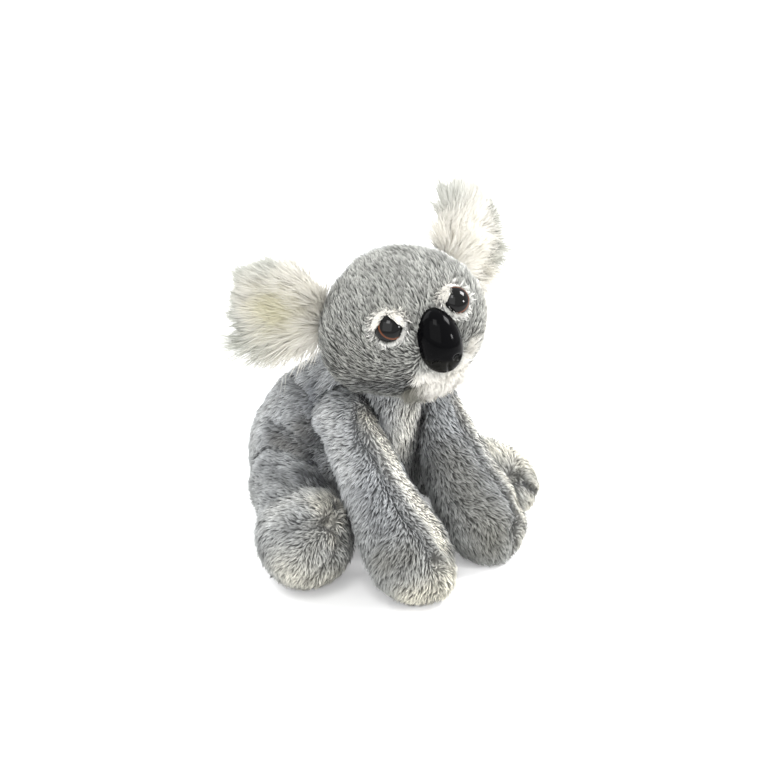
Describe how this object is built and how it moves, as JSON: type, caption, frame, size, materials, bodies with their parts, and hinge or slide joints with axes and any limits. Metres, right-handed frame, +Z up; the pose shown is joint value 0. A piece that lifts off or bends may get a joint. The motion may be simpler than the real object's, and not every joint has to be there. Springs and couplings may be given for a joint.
{
  "type": "plush koala",
  "caption": "Sitting soft toy koala: sewn plush skins over filling, a head that turns, arms, legs and ears that bend at their seams, and locked safety eyes and nose.",
  "frame": {"origin": "middle of the flat that the koala sits on", "axes": "+Z up; -Y the way the koala faces; +X the koala's own left"},
  "size_m": [0.1471, 0.143, 0.1575],
  "materials": {
    "grey_plush": "short silky pile, mottled",
    "white_plush": "longer silky pile",
    "fibre_fill": "loose polyester fibre",
    "bag_cloth": "plain woven cloth",
    "eye_brown": "gloss, black pupil in a brown ring",
    "nose_black": "gloss",
    "washer_plastic": "satin, as moulded"
  },
  "bodies": {
    "body": {"body_skin": "grey_plush", "body_stuffing": "fibre_fill", "pellet_bag": "bag_cloth"},
    "head": {"head_skin": "grey_plush", "head_stuffing": "fibre_fill", "chin_patch": "white_plush", "nose": "nose_black", "nose_washer": "washer_plastic", "eye_right": "eye_brown", "eye_patch_right": "white_plush", "eye_washer_right": "washer_plastic", "eye_left": "eye_brown", "eye_patch_left": "white_plush", "eye_washer_left": "washer_plastic"},
    "ear_right": {"ear_right_front": "white_plush", "ear_right_back": "grey_plush"},
    "ear_left": {"ear_left_front": "white_plush", "ear_left_back": "grey_plush"},
    "arm_right": {"arm_right_skin": "grey_plush", "arm_right_stuffing": "fibre_fill"},
    "arm_left": {"arm_left_skin": "grey_plush", "arm_left_stuffing": "fibre_fill"},
    "leg_right": {"leg_right_skin": "grey_plush", "leg_right_stuffing": "fibre_fill"},
    "leg_left": {"leg_left_skin": "grey_plush", "leg_left_stuffing": "fibre_fill"}
  },
  "joints": [
    {"name": "neck", "type": "hinge", "parent": "body", "child": "head", "pos_m": [0, -0.036, 0.087], "axis": [0, -0.4067, 0.9135], "range_deg": [-40, 40], "stiffness_Nm_per_rad": 0.05},
    {"name": "ear_right_root", "type": "hinge", "parent": "head", "child": "ear_right", "pos_m": [-0.02637, -0.02289, 0.11158], "axis": [-0.0321, -0.1883, 0.9816], "range_deg": [-30, 40], "stiffness_Nm_per_rad": 0.01},
    {"name": "ear_left_root", "type": "hinge", "parent": "head", "child": "ear_left", "pos_m": [0.03288, -0.0396, 0.12693], "axis": [-0.5122, -0.0529, 0.8573], "range_deg": [-30, 40], "stiffness_Nm_per_rad": 0.01},
    {"name": "shoulder_right", "type": "hinge", "parent": "body", "child": "arm_right", "pos_m": [-0.023, -0.035, 0.068], "axis": [-1, 0, 0], "range_deg": [0, 25], "stiffness_Nm_per_rad": 0.04},
    {"name": "shoulder_left", "type": "hinge", "parent": "body", "child": "arm_left", "pos_m": [0.023, -0.035, 0.068], "axis": [-1, 0, 0], "range_deg": [0, 25], "stiffness_Nm_per_rad": 0.04},
    {"name": "hip_right", "type": "hinge", "parent": "body", "child": "leg_right", "pos_m": [-0.03, -0.01, 0.0245], "axis": [0, 0, -1], "range_deg": [0, 35], "stiffness_Nm_per_rad": 0.05},
    {"name": "hip_left", "type": "hinge", "parent": "body", "child": "leg_left", "pos_m": [0.03, -0.01, 0.0245], "axis": [0, 0, 1], "range_deg": [0, 35], "stiffness_Nm_per_rad": 0.05}
  ]
}
